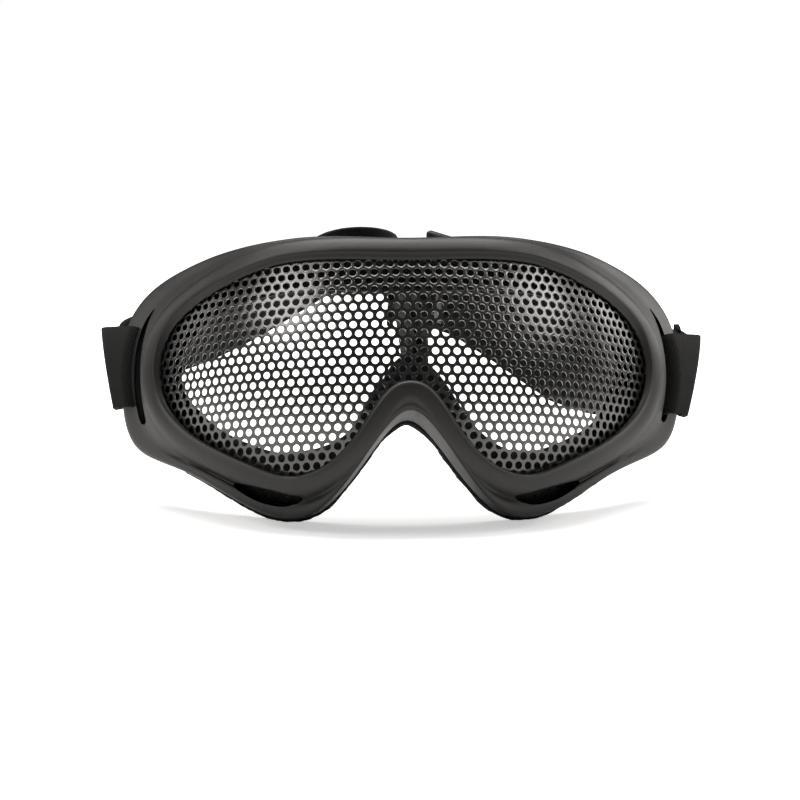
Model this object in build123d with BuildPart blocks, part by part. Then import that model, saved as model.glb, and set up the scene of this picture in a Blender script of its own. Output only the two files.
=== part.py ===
# Mesh safety goggles: a soft moulded frame with a domed steel mesh lens, face foam,
# foam-backed vents and a webbing strap that is folded in behind the frame.
import math
import os

from build123d import *

# The frame's own directions: x to the wearer's left, depth towards the face, up along the lens.
# The goggles stand on the foam under the two cheek lobes and lean back by lean.
lean = 16.0
overrun = 40.0

# Frame
half_width = 85.5
frame_height = 80.0
dome_radius = 87.0
dome_height = 42.5
wing_angle = 45.0
wing_tip_share = 0.99
lens_half_width = 75.3
face_room = 11.5
face_radius = half_width + face_room
face_depth = 27.0
plate_front = 3.0
plate_thickness = 3.5
wall = 3.2
side_half_width = 78.6
side_half_height = 57.0
side_height = 45.0
rim_band = 5.2
rim_depth = 7.0
outline_arcs = 16
lip = 2.0
flange_thickness = 2.0
flange_inset = 1.0

# Ear slots for the strap
slot_width = 2.2
slot_low = 29.0
slot_high = 62.5
slot_middle = 81.7
slot_bow = 3.6

# Vents
vent_floor = 2.2
vent_inner = 29.0
vent_outer = 51.0
top_vent_length = 11.0
top_vent_width = 3.6
top_vent_pitch = 16.0
top_vent_count = 6
top_vent_setback = 3.4

# Mesh lens
mesh_thickness = 0.7
mesh_tuck = 1.5
groove_clearance = 0.3
hole_pitch = 12.0
hole_size = 9.0
hole_margin = 4.8
hole_corners = 6

# Foam
foam_thickness = 8.0
foam_proud = 0.4
glue_gap = 0.1
vent_foam_thickness = 3.0
vent_foam_margin = 1.6
stand_cut = 1.0

# Strap
strap_width = 25.0
strap_thickness = 1.7
strap_height = 45.4
strap_clearance = 0.35
strap_fold_reach = 91.6
strap_axis_depth = 60.0
strap_lap = 7.0
strap_rise = 17.0
strap_seam = 1.2
strap_seam_gap = 0.5
strap_lap_gap = 0.4
strap_start = 12.0
strap_reach = 104.0
strap_corner_share = 1.034
strap_turn_radii = (12.0, 17.0, 2.9, 2.9, 5.5, 12.0)

# Slider on the strap
slider_length = 20.0
slider_overhang = 3.6
slider_bar = 3.4
slider_thickness = 1.8
slider_place = 26.0
slider_round = 1.4

# Outlines as shares of the half width and of the frame height, from the top centre downwards
brow_shares = ((0, 0.976), (0.35, 1.0), (0.58, 0.988))
cheek_shares = ((0.64, 0.095), (0.52, 0.018), (0.415, -0.018), (0.315, 0.0), (0.235, 0.068))
nose_shares = ((0.155, 0.172), (0.082, 0.275), (0, 0.338))
ear_shares = (
    (0.78, 0.955), (0.93, 0.885), (0.99, 0.79), (1.0, 0.6), (0.995, 0.4), (0.955, 0.3),
    (0.88, 0.245), (0.77, 0.183),
)

# The lens opening, as shares of its own half width and of the frame height
opening_shares = (
    (0, 0.889), (0.45, 0.904), (0.79, 0.832), (0.965, 0.7), (1.0, 0.575), (0.965, 0.425),
    (0.78, 0.255), (0.585, 0.16), (0.435, 0.12), (0.32, 0.152), (0.19, 0.268), (0.106, 0.382),
    (0.055, 0.425), (0, 0.4375),
)

# The inner edge of the face foam, as shares of the frame's half width and height
foam_inner_shares = (
    (0, 0.825), (0.35, 0.845), (0.58, 0.815), (0.735, 0.74), (0.81, 0.6), (0.8, 0.48),
    (0.72, 0.345), (0.57, 0.24), (0.42, 0.19), (0.3, 0.215), (0.21, 0.315), (0.14, 0.44),
    (0.06, 0.545), (0, 0.572),
)

sin_lean = math.sin(math.radians(lean))
cos_lean = math.cos(math.radians(lean))

# Corners of the folded strap: sideways as shares of the fold's reach, back as shares of its reach
strap_corner_shares = ((-0.968, 0.17), (-0.033, 1.375), (0.0, 0.035), (0.066, 0.035),
                       (0.0, 1.0), (0.968, 0.17))

# The frame's own origin sits below the front of the lens, at the height of the cheek lobes
foam_back = face_depth + foam_thickness
lobe_share, lobe_drop_share = cheek_shares[2]
lobe_shift = face_radius - math.sqrt(face_radius**2 - (lobe_share * half_width) ** 2)
stand_height = (
    (foam_back + lobe_shift) * sin_lean
    - (lobe_drop_share * frame_height - foam_proud) * cos_lean
    - stand_cut
)
front_reach = dome_height * sin_lean - dome_radius * (1 - cos_lean)
axis_reach = strap_axis_depth * cos_lean + strap_height * sin_lean
rise = math.radians(strap_rise)
corner_reach = strap_corner_share * strap_reach
back_reach = axis_reach + corner_reach * math.cos(rise) + strap_width / 2 * math.sin(rise)
base = Vector(0, -(front_reach + back_reach) / 2, stand_height)


def upright(depth=0.0):
    """A plane across the goggles, facing the viewer, at a depth behind the lens centre."""
    back = Vector(0, cos_lean, -sin_lean) * depth
    return Plane(origin=base + back, x_dir=(1, 0, 0), z_dir=(0, -cos_lean, sin_lean))


def level(height=0.0):
    """A plane along the goggles' width and depth, at a height above the lobes."""
    above = Vector(0, sin_lean, cos_lean) * height
    return Plane(origin=base + above, x_dir=(1, 0, 0), z_dir=(0, sin_lean, cos_lean))


def places(shares, wide=half_width, high=frame_height):
    return [(x * wide, y * high) for x, y in shares]


def outline(points, grow=0.0):
    """A closed, symmetric outline in arcs, given half of its points from the top centre down."""
    others = [(-x, y) for x, y in points[-2:0:-1]]
    with BuildSketch(upright(-overrun)) as face:
        with BuildLine():
            drawn = Spline(*points, *others, periodic=True, mode=Mode.PRIVATE)
            places_on = []
            for step in range(2 * outline_arcs + 1):
                share = step / outline_arcs / 4
                here, there = drawn @ share, drawn @ (1 - share)
                way, back = drawn % share, drawn % (1 - share)
                out = Vector(back.Y - way.Y, way.X + back.X).normalized()
                places_on.append(Vector(here.X - there.X, here.Y + there.Y) / 2 + out * grow)
            for first in range(0, 2 * outline_arcs, 2):
                ThreePointArc(*places_on[first:first + 3])
            mirror(about=Plane.YZ)
        make_face()
    return face.sketch


def dome(gap):
    """All behind the front surface, as far as its axis: a ball at the middle, cones on the wings."""
    radius = dome_radius - gap
    turn = math.radians(wing_angle)
    axis_at = Vector(0, dome_height)
    top = axis_at + Vector(0, radius)
    middle = axis_at + Vector(math.sin(turn / 2), math.cos(turn / 2)) * radius
    edge = axis_at + Vector(math.sin(turn), math.cos(turn)) * radius
    tip = edge + Vector(1 / math.tan(turn), -1) * (edge.Y - dome_height) * wing_tip_share
    with BuildPart() as body:
        with BuildSketch(upright(dome_radius)):
            with BuildLine():
                ThreePointArc(top, middle, edge)
                Polyline(edge, tip, (tip.X, dome_height), axis_at, top)
            make_face()
            mirror(about=Plane.YZ)
        revolve(
            axis=Axis(upright(dome_radius).from_local_coords(axis_at), (1, 0, 0)),
            revolution_arc=180,
        )
    return body.part


def layer(front, back):
    """The part of the domed front between two gaps behind it."""
    with BuildPart() as body:
        add(dome(front))
        add(dome(back), mode=Mode.SUBTRACT)
    return body.part


def behind_face(near, far):
    """The space between two depths of the curved surface that meets the face."""
    wide = (half_width + face_radius) / 2
    sag = face_radius - math.sqrt(face_radius**2 - wide**2)
    with BuildPart() as body:
        with BuildSketch(level(-overrun)):
            with BuildLine():
                for depth in (near, far):
                    ThreePointArc((-wide, depth + sag), (0, depth), (wide, depth + sag))
                for side in (-wide, wide):
                    Line((side, near + sag), (side, far + sag))
            make_face()
        extrude(amount=frame_height + 2 * overrun)
    return body.part


def prism(face):
    """A face in front of the goggles, pushed back through their whole depth."""
    with BuildPart() as body:
        extrude(face, amount=-(dome_radius + overrun))
    return body.part


def slab(low, high, left, right, front, back):
    """A block in the frame's own directions."""
    with BuildPart() as body:
        with BuildSketch(level(low)):
            with BuildLine():
                Polyline((left, front), (right, front), (right, back), (left, back), close=True)
            make_face()
        extrude(amount=high - low)
    return body.part


def both_sides(piece):
    """A piece and its mirror image on the other side of the nose."""
    with BuildPart() as pair:
        add(piece)
        mirror(piece, about=Plane.YZ)
    return pair.part


ear_points = places(brow_shares + ear_shares + cheek_shares + nose_shares)
opening_points = places(opening_shares, wide=lens_half_width)
plate_back = plate_front + plate_thickness

ear_prism = prism(outline(ear_points))
rim_prism = prism(outline(opening_points, grow=rim_band))
opening_prism = prism(outline(opening_points))


def side_prism(inset=0.0):
    """The oval that the walls keep to behind the ears."""
    with BuildSketch(upright(-overrun)) as face:
        with Locations((0, side_height)):
            Ellipse(side_half_width - inset, side_half_height - inset)
    return prism(face.sketch)


def hollow(clearance=0.0):
    """The room inside the walls, from behind the rim to the flange that carries the foam."""
    with BuildPart() as body:
        add(prism(outline(ear_points, grow=-(wall + clearance))))
        add(side_prism(wall + clearance), mode=Mode.INTERSECT)
        add(behind_face(-overrun, face_depth - flange_thickness - clearance), mode=Mode.INTERSECT)
        add(dome(rim_depth + clearance), mode=Mode.INTERSECT)
    return body.part


# What is cut away in front of the ears and cheeks, so that the rim stands proud
with BuildPart() as front_step:
    add(layer(-overrun, plate_front))
    add(rim_prism, mode=Mode.SUBTRACT)

# What is cut away behind the ears, so that they are thin plates beside the walls
with BuildPart() as ear_step:
    add(dome(plate_back))
    add(side_prism(), mode=Mode.SUBTRACT)

# The groove that holds the edge of the mesh
with BuildPart() as groove:
    add(prism(outline(opening_points, grow=mesh_tuck + groove_clearance)))
    add(layer(lip, lip + mesh_thickness + 2 * groove_clearance), mode=Mode.INTERSECT)

# The curved slot in one ear, and the strap's path through it
slot_centre = (slot_low + slot_high) / 2


def slot_curve(at, low, high):
    """Three points on the slot's curve, moved so that its middle is at a place sideways."""
    radius = (slot_bow**2 + ((slot_high - slot_low) / 2) ** 2) / (2 * slot_bow)
    return [
        (at - radius + math.sqrt(radius**2 - (height - slot_centre) ** 2), height)
        for height in (low, slot_centre, high)
    ]


with BuildPart() as slot:
    with BuildSketch(upright(-overrun)):
        with BuildLine() as slot_line:
            ThreePointArc(*slot_curve(slot_middle, slot_low, slot_high))
        trace(slot_line.line, line_width=slot_width)
    extrude(amount=-(dome_radius + overrun))
slots = both_sides(slot.part)

# The crescent vent under one cheek, between the raised rim and the floor of the frame
with BuildPart() as vent:
    add(prism(outline(ear_points, grow=-vent_floor)))
    low_corner = frame_height * lobe_drop_share
    add(slab(low_corner, slot_centre, vent_inner, vent_outer, -overrun, overrun), mode=Mode.INTERSECT)
    add(layer(-overrun, rim_depth + vent_floor), mode=Mode.INTERSECT)
    add(rim_prism, mode=Mode.SUBTRACT)
vents = both_sides(vent.part)


def front_at(x, height, gap=0.0):
    """Depth of the domed front at a place on it."""
    above = height - dome_height
    return dome_radius - math.sqrt((dome_radius - gap) ** 2 - x**2 - above**2)


# A row of vents through the top wall, each square to the front there
with BuildPart() as top_vents:
    with BuildSketch(level(brow_shares[0][1] * frame_height - 2 * wall)):
        for index in range(top_vent_count):
            x = (index - (top_vent_count - 1) / 2) * top_vent_pitch
            depth = front_at(x, frame_height * brow_shares[1][1], rim_depth) + top_vent_setback
            turn = math.degrees(math.asin(x / face_radius))
            with Locations(Location((x, depth), turn)):
                SlotOverall(top_vent_length, top_vent_width)
    extrude(amount=overrun)

with BuildPart() as frame:
    add(ear_prism)
    add(behind_face(-overrun, face_depth), mode=Mode.INTERSECT)
    add(dome(0), mode=Mode.INTERSECT)
    add(front_step.part, mode=Mode.SUBTRACT)
    add(ear_step.part, mode=Mode.SUBTRACT)
    add(hollow(), mode=Mode.SUBTRACT)
    add(opening_prism, mode=Mode.SUBTRACT)
    add(prism(outline(places(foam_inner_shares), grow=-flange_inset)), mode=Mode.SUBTRACT)
    add(groove.part, mode=Mode.SUBTRACT)
    add(slots, mode=Mode.SUBTRACT)
    add(vents, mode=Mode.SUBTRACT)
    add(top_vents.part, mode=Mode.SUBTRACT)

# Mesh lens: staggered holes, evenly spaced along the dome
hole_room = outline(opening_points, grow=-hole_margin).faces()[0]
arc_reach = dome_radius * math.radians(wing_angle)
row_pitch = hole_pitch * math.sqrt(3) / 2
row_count = int(frame_height / row_pitch)
column_reach = int(2 * half_width / hole_pitch)


def along_dome(run):
    """Sideways place, and how much narrower a hole looks, at a run along the front from its middle."""
    bend = min(abs(run), arc_reach) / dome_radius
    beyond = max(abs(run) - arc_reach, 0)
    x = dome_radius * math.sin(bend) + beyond * math.cos(bend)
    return math.copysign(x, run), math.cos(bend)


with BuildPart() as mesh_lens:
    add(prism(outline(opening_points, grow=mesh_tuck)))
    add(
        layer(lip + groove_clearance, lip + groove_clearance + mesh_thickness),
        mode=Mode.INTERSECT,
    )
    with BuildSketch(upright(-overrun)):
        for row in range(row_count):
            for column in range(-column_reach, column_reach + 1):
                x, squeeze = along_dome((column + row % 2 / 2) * hole_pitch)
                height = row * row_pitch
                place = upright(-overrun).from_local_coords(Vector(x, height, 0))
                if hole_room.is_inside(place):
                    turns = [math.tau * corner / hole_corners for corner in range(hole_corners)]
                    Polygon(
                        *[
                            (x + hole_size / 2 * squeeze * math.sin(turn),
                             height + hole_size / 2 * math.cos(turn))
                            for turn in turns
                        ],
                        align=None,
                    )
    extrude(amount=-(dome_radius + overrun), mode=Mode.SUBTRACT)

# Face foam, glued to the flange
with BuildPart() as face_foam:
    add(prism(outline(ear_points, grow=foam_proud)))
    add(side_prism(-foam_proud), mode=Mode.INTERSECT)
    add(behind_face(face_depth + glue_gap, foam_back), mode=Mode.INTERSECT)
    add(prism(outline(places(foam_inner_shares))), mode=Mode.SUBTRACT)
    with BuildSketch(Plane.XY):
        Rectangle(2 * half_width, 2 * (half_width + overrun))
    extrude(amount=-overrun, mode=Mode.SUBTRACT)

# Foam behind the vents
with BuildPart() as lower_vent_foam_right:
    add(hollow(glue_gap))
    add(
        layer(rim_depth + glue_gap, rim_depth + glue_gap + vent_foam_thickness),
        mode=Mode.INTERSECT,
    )
    add(
        slab(
            low_corner, slot_centre, vent_inner - vent_foam_margin, vent_outer - vent_foam_margin,
            -overrun, dome_radius,
        ),
        mode=Mode.INTERSECT,
    )
    add(prism(outline(opening_points, grow=vent_foam_margin)), mode=Mode.SUBTRACT)

with BuildPart() as top_vent_foam:
    add(hollow(glue_gap))
    add(prism(outline(ear_points, grow=-(wall + vent_foam_thickness))), mode=Mode.SUBTRACT)
    top_run = (top_vent_count - 1) / 2 * top_vent_pitch + top_vent_length
    add(
        slab(slot_high, frame_height + overrun, -top_run, top_run, -overrun, dome_radius),
        mode=Mode.INTERSECT,
    )

# The sewn end of the strap, looped through one ear slot and folded back
loop_back = plate_back + strap_clearance
loop_front = plate_front - strap_clearance
loop_low = strap_height - strap_width / 2
loop_high = strap_height + strap_width / 2
in_slot = strap_thickness * math.cos(math.radians(wing_angle))
fold_inside = strap_fold_reach - strap_thickness
seam_at = fold_inside - strap_lap_gap - strap_thickness - strap_seam_gap


def loop_face(reach):
    """From the slot out to a reach, as high as the strap is wide."""
    edge = slot_curve(slot_middle - in_slot / 2, loop_low, loop_high)
    with BuildSketch(upright(-overrun)) as face:
        with BuildLine():
            ThreePointArc(*edge)
            Polyline(edge[2], (reach, loop_high), (reach, loop_low), edge[0])
        make_face()
    return prism(face.sketch)


with BuildPart() as strap_end:
    add(loop_face(strap_fold_reach))
    add(layer(loop_front - strap_thickness, loop_front), mode=Mode.INTERSECT)
with BuildPart() as back_layer:
    add(loop_face(seam_at))
    add(layer(loop_back, loop_back + strap_thickness), mode=Mode.INTERSECT)
with BuildPart() as joined:
    add(loop_face(seam_at))
    add(layer(loop_front - strap_thickness / 2, loop_back + strap_thickness / 2), mode=Mode.INTERSECT)
    bar_low, bar_high, bar_out = loop_low - strap_seam, loop_high + strap_seam, seam_at - strap_seam
    bar_edge = slot_curve(slot_middle + in_slot / 2, bar_low, bar_high)
    with BuildSketch(upright(-overrun)):
        with BuildLine():
            ThreePointArc(*bar_edge)
            Polyline(bar_edge[2], (bar_out, bar_high), (bar_out, bar_low), bar_edge[0])
        make_face()
    extrude(amount=-(dome_radius + overrun), mode=Mode.SUBTRACT)
with BuildPart() as fold:
    fold_depth = strap_axis_depth + strap_start + strap_lap
    add(slab(loop_low, loop_high, fold_inside, strap_fold_reach, 0, fold_depth))
    add(dome(loop_front - strap_thickness), mode=Mode.INTERSECT)
with BuildPart() as strap_end_right:
    add(strap_end.part)
    add(back_layer.part)
    add(joined.part)
    add(fold.part)
with BuildPart() as strap_end_left:
    mirror(strap_end_right.part, about=Plane.YZ)

# The band, folded in behind the frame in one plane that rises to the back
axis_point = level(strap_height).from_local_coords(Vector(0, strap_axis_depth, 0))
strap_plane = Plane(
    origin=axis_point, x_dir=(1, 0, 0), z_dir=(0, -math.sin(rise), math.cos(rise))
)
band_start = fold_inside - strap_lap_gap - strap_thickness / 2
corners = [(x * strap_fold_reach, y * strap_reach) for x, y in strap_corner_shares]
corners[0] = (-band_start, corners[0][1])
corners[-1] = (band_start, corners[-1][1])
route = [(-band_start, strap_start), *corners, (band_start, strap_start)]
with BuildPart() as strap_band:
    with BuildSketch(strap_plane):
        with BuildLine() as band_line:
            FilletPolyline(*route, radius=list(strap_turn_radii))
        trace(band_line.line, line_width=strap_thickness)
    extrude(amount=strap_width / 2, both=True)

# Slider: a ring on the outside of the band and a bar behind it, joined past the band's edges
run_from, run_to = Vector(*route[-3]), Vector(*route[-2])
run_way = (run_to - run_from).normalized()
run_square = Vector(-run_way.Y, run_way.X)
slider_at = run_from + run_way * slider_place
to_world = strap_plane.from_local_coords
slider_plane = Plane(
    origin=to_world(slider_at),
    x_dir=to_world(slider_at + run_way) - to_world(slider_at),
    z_dir=to_world(slider_at + run_square) - to_world(slider_at),
)
slider_height = strap_width + 2 * slider_overhang
band_room = strap_thickness / 2 + strap_clearance
with BuildPart() as strap_slider:
    with BuildSketch(slider_plane.offset(band_room)):
        RectangleRounded(slider_length, slider_height, slider_round)
        Rectangle(
            slider_length - 2 * slider_bar, strap_width + 2 * strap_clearance, mode=Mode.SUBTRACT
        )
    extrude(amount=slider_thickness)
    with BuildSketch(slider_plane.offset(-band_room)):
        Rectangle(slider_bar, slider_height)
    extrude(amount=-slider_thickness)
    post = (slider_height - strap_width - 2 * strap_clearance) / 2
    with BuildSketch(slider_plane.offset(-band_room - slider_thickness)):
        with Locations((0, (slider_height - post) / 2), (0, -(slider_height - post) / 2)):
            Rectangle(slider_bar, post)
    extrude(amount=2 * (band_room + slider_thickness))

with BuildPart() as lower_vent_foam_left:
    mirror(lower_vent_foam_right.part, about=Plane.YZ)

os.makedirs("parts", exist_ok=True)
frame.part.label = "frame"
export_step(frame.part, "parts/frame.step")
mesh_lens.part.label = "mesh_lens"
export_step(mesh_lens.part, "parts/mesh_lens.step")
face_foam.part.label = "face_foam"
export_step(face_foam.part, "parts/face_foam.step")
lower_vent_foam_right.part.label = "lower_vent_foam_right"
export_step(lower_vent_foam_right.part, "parts/lower_vent_foam_right.step")
lower_vent_foam_left.part.label = "lower_vent_foam_left"
export_step(lower_vent_foam_left.part, "parts/lower_vent_foam_left.step")
top_vent_foam.part.label = "top_vent_foam"
export_step(top_vent_foam.part, "parts/top_vent_foam.step")
strap_end_right.part.label = "strap_end_right"
export_step(strap_end_right.part, "parts/strap_end_right.step")
strap_end_left.part.label = "strap_end_left"
export_step(strap_end_left.part, "parts/strap_end_left.step")
strap_band.part.label = "strap_band"
export_step(strap_band.part, "parts/strap_band.step")
strap_slider.part.label = "strap_slider"
export_step(strap_slider.part, "parts/strap_slider.step")
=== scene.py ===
import math

import bmesh
import bpy
import numpy as np
from mathutils import Matrix, Vector


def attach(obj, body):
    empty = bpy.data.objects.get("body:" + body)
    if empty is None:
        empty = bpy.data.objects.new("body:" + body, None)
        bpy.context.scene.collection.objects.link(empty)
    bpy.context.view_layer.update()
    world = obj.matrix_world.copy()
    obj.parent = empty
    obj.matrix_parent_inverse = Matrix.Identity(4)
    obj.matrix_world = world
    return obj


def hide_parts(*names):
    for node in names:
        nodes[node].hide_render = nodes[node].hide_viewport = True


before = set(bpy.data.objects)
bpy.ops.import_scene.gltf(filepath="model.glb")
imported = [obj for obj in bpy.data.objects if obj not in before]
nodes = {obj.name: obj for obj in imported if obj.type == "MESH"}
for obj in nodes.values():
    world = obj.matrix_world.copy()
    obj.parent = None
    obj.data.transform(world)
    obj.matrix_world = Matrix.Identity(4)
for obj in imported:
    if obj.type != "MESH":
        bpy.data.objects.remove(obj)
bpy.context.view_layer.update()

scene = bpy.context.scene
scene.view_settings.view_transform = "Standard"
mm = 0.001
bpy.ops.object.select_all(action="DESELECT")

# Places are given sideways, in depth towards the face, and up along the lens.
# The origin of these in the scene, and how far the goggles lean back
stance = dict(lean=16.0, y=-92.5129, z=12.2691)
# The front is a ball in the middle that runs into cones on the wings; the face side is a cylinder
front = dict(radius=87.0, height=42.5, wing=45.0, faceRadius=97.0, faceDepth=27.0)
lean = math.radians(stance["lean"])


def place(x, depth, up):
    x, depth, up = np.broadcast_arrays(np.asarray(x, float), depth, up)
    return np.stack([
        x,
        stance["y"] + depth * math.cos(lean) + up * math.sin(lean),
        stance["z"] - depth * math.sin(lean) + up * math.cos(lean),
    ], -1) * mm


def frontDepth(x, up, gap):
    radius = front["radius"] - gap
    turn = math.radians(front["wing"])
    side = np.abs(x)
    ball = np.sqrt(np.maximum(radius**2 - side**2, 1.0))
    cone = radius * math.cos(turn) - (side - radius * math.sin(turn)) * math.tan(turn)
    ring = np.where(side <= radius * math.sin(turn), ball, cone)
    return front["radius"] - np.sqrt(np.maximum(ring**2 - (up - front["height"])**2, 1.0))


def faceDepth(x, extra=0.0):
    radius = front["faceRadius"]
    return front["faceDepth"] + extra + radius - np.sqrt(radius**2 - np.minimum(np.abs(x), radius - 1)**2)


# Half of each outline from the top centre down, as shares of its half width and of the height
outlines = dict(
    halfWidth=85.5, lensHalfWidth=75.3, height=80.0, stations=(44, 34, 34),
    edge=((0, 0.976), (0.35, 1.0), (0.58, 0.988), (0.78, 0.955), (0.93, 0.885), (0.99, 0.79), (1.0, 0.6),
          (0.995, 0.4), (0.955, 0.3), (0.88, 0.245), (0.77, 0.183), (0.64, 0.095), (0.52, 0.018),
          (0.415, -0.018), (0.315, 0.0), (0.235, 0.068), (0.155, 0.172), (0.082, 0.275), (0, 0.338)),
    edgeMarks=(0, 6, 13, 18),
    opening=((0, 0.889), (0.45, 0.904), (0.79, 0.832), (0.965, 0.7), (1.0, 0.575), (0.965, 0.425),
             (0.78, 0.255), (0.585, 0.16), (0.435, 0.12), (0.32, 0.152), (0.19, 0.268), (0.106, 0.382),
             (0.055, 0.425), (0, 0.4375)),
    openingMarks=(0, 4, 8, 13),
    foam=((0, 0.825), (0.35, 0.845), (0.58, 0.815), (0.735, 0.74), (0.81, 0.6), (0.8, 0.48),
          (0.72, 0.345), (0.57, 0.24), (0.42, 0.19), (0.3, 0.215), (0.21, 0.315), (0.14, 0.44),
          (0.06, 0.545), (0, 0.572)),
    foamMarks=(0, 4, 8, 13),
)


def smoothHalf(half, fine=40):
    # a smooth closed curve through the points and their mirror images, finely divided
    knots = np.array(list(half) + [(-x, y) for x, y in half[-2:0:-1]], float)
    step = np.linalg.norm(np.roll(knots, -1, 0) - knots, axis=1)
    before = np.roll(step, 1)
    count = len(knots)
    system = np.zeros((count, count))
    for i in range(count):
        system[i, i - 1] += before[i]
        system[i, i] += 2 * (before[i] + step[i])
        system[i, (i + 1) % count] += step[i]
    slope = (np.roll(knots, -1, 0) - knots) / step[:, None]
    bend = np.linalg.solve(system, 6 * (slope - np.roll(slope, 1, 0)))
    run = []
    for i in range(len(half) - 1):
        for u in np.arange(fine) / fine * step[i]:
            v = step[i] - u
            run.append(bend[i] * v**3 / (6 * step[i]) + bend[i + 1] * u**3 / (6 * step[i])
                       + (knots[i] / step[i] - bend[i] * step[i] / 6) * v
                       + (knots[i + 1] / step[i] - bend[i + 1] * step[i] / 6) * u)
    run.append(knots[len(half) - 1])
    return np.array(run)


def evenly(run, count, ends=True):
    # points at even distances along a run of points
    length = np.concatenate([[0], np.cumsum(np.linalg.norm(np.diff(run, axis=0), axis=1))])
    at = np.linspace(0, length[-1], count + 1)
    if not ends:
        at = at[:-1]
    return np.stack([np.interp(at, length, run[:, k]) for k in range(run.shape[1])], 1)


def loopOf(shares, marks, wide, fine=40):
    # stations round an outline, in step with those of the other outlines, and the way out at each
    run = smoothHalf([(x * wide, y * outlines["height"]) for x, y in shares], fine)
    parts = [evenly(run[first * fine:last * fine + 1], count, False)
             for first, last, count in zip(marks, marks[1:], outlines["stations"])]
    half = np.vstack(parts + [run[-1:]])
    whole = np.vstack([half, half[-2:0:-1] * (-1, 1)])
    along = np.roll(whole, -1, 0) - np.roll(whole, 1, 0)
    out = np.stack([-along[:, 1], along[:, 0]], 1)
    return whole, out / np.linalg.norm(out, axis=1)[:, None]


edge, edgeOut = loopOf(outlines["edge"], outlines["edgeMarks"], outlines["halfWidth"])
opening, openingOut = loopOf(outlines["opening"], outlines["openingMarks"], outlines["lensHalfWidth"])
foamEdge, foamOut = loopOf(outlines["foam"], outlines["foamMarks"], outlines["halfWidth"])
halfShares = np.concatenate([n + np.arange(count) / count for n, count in enumerate(outlines["stations"])]
                            + [[len(outlines["stations"])]])
stationShare = np.concatenate([halfShares, halfShares[-2:0:-1]])  # 0 top, 1 side, 2 cheek, 3 nose

# The photographed pair's small departures from those curves, outwards at each share of the way round
drawnOut = dict(
    opening=((0, 1.3), (0.42, 1.3), (0.62, 0), (3, 0)),
    edge=((0, 0), (0.35, 0), (0.6, 0.9), (0.78, 1.7), (1.0, 1.6), (1.3, 1.6), (1.45, 1.1), (1.62, 0.3),
          (1.8, 0), (3, 0)),
    foam=((0, 0), (1.15, 0), (1.35, -2.2), (2.25, -2.2), (2.5, -0.5), (3, 0)),
    foamRight=((0, 0), (0.6, 0), (0.85, -2.6), (1.3, -2.6), (1.5, 0), (3, 0)),
    foamLeft=((0, 0), (2.15, 0), (2.4, 3.2), (2.8, 3.0), (3, 0)),
)


def fade(marks):
    # a value at each station, in even steps between those at the marked shares
    return np.interp(stationShare, *zip(*marks))


def moveOut(loop, out, name):
    return loop + out * fade(drawnOut[name])[:, None]


opening = moveOut(opening, openingOut, "opening")
edge = moveOut(edge, edgeOut, "edge")
foamPlain = foamEdge
foamEdge = moveOut(foamEdge, foamOut, "foam")
foamEdge = np.where(foamPlain[:, :1] > 0, moveOut(foamEdge, foamOut, "foamRight"),
                    moveOut(foamEdge, foamOut, "foamLeft"))


def startPiece(name):
    piece = bpy.context.active_object
    piece.name = piece.data.name = name
    return piece


def activate(*pieces):
    # selects these pieces alone, with the first of them active
    bpy.ops.object.select_all(action="DESELECT")
    for piece in pieces:
        piece.select_set(True)
    bpy.context.view_layer.objects.active = pieces[0]


def applyAll(piece):
    activate(piece)
    bpy.ops.object.transform_apply(location=True, rotation=True, scale=True)
    for modifier in list(piece.modifiers):
        bpy.ops.object.modifier_apply(modifier=modifier.name)


def shadeByAngle(piece, degrees):
    activate(piece)
    bpy.ops.object.shade_smooth_by_angle(angle=math.radians(degrees))


def loft(name, rings, closed=True, caps=False):
    # a loop of edges, extruded from ring to ring, whose ends meet or are capped
    bpy.ops.object.select_all(action="DESELECT")
    bpy.ops.mesh.primitive_circle_add(vertices=len(rings[0]), fill_type="NOTHING")
    piece = startPiece(name)
    bpy.ops.object.mode_set(mode="EDIT")
    bpy.ops.mesh.select_mode(type="EDGE")
    bpy.ops.mesh.select_all(action="SELECT")
    mesh = bmesh.from_edit_mesh(piece.data)
    mesh.verts.ensure_lookup_table()
    line = list(range(len(mesh.verts)))
    for index, at in zip(line, rings[0]):
        mesh.verts[index].co = at
    for number, ring in enumerate(rings[1:]):
        if caps and number == 0:
            bpy.ops.mesh.edge_face_add()
        before = len(mesh.verts)
        if caps:
            bpy.ops.mesh.select_all(action="DESELECT")
            mesh = bmesh.from_edit_mesh(piece.data)
            mesh.edges.ensure_lookup_table()
            mesh.verts.ensure_lookup_table()
            ours = set(line)
            for rim in mesh.edges:
                if rim.verts[0].index in ours and rim.verts[1].index in ours:
                    rim.select_set(True)
        bpy.ops.mesh.extrude_edges_move()
        mesh = bmesh.from_edit_mesh(piece.data)
        mesh.verts.index_update()
        mesh.verts.ensure_lookup_table()
        fresh = []
        for index in line:
            for rim in mesh.verts[index].link_edges:
                other = rim.other_vert(mesh.verts[index]).index
                if other >= before:
                    fresh.append(other)
        line = fresh
        for index, at in zip(line, ring):
            mesh.verts[index].co = at
    if caps:
        bpy.ops.mesh.edge_face_add()
    bpy.ops.mesh.select_all(action="SELECT")
    if closed:
        bpy.ops.mesh.remove_doubles(threshold=1e-6)
    bpy.ops.mesh.normals_make_consistent(inside=False)
    bmesh.update_edit_mesh(piece.data)
    bpy.ops.object.mode_set(mode="OBJECT")
    return piece


def cut(piece, rings):
    cutter = loft("cutter", rings, closed=False, caps=True)
    modifier = piece.modifiers.new("cut", "BOOLEAN")
    modifier.operation = "DIFFERENCE"
    modifier.solver = "EXACT"
    modifier.object = cutter
    applyAll(piece)
    bpy.data.objects.remove(cutter)


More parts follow.
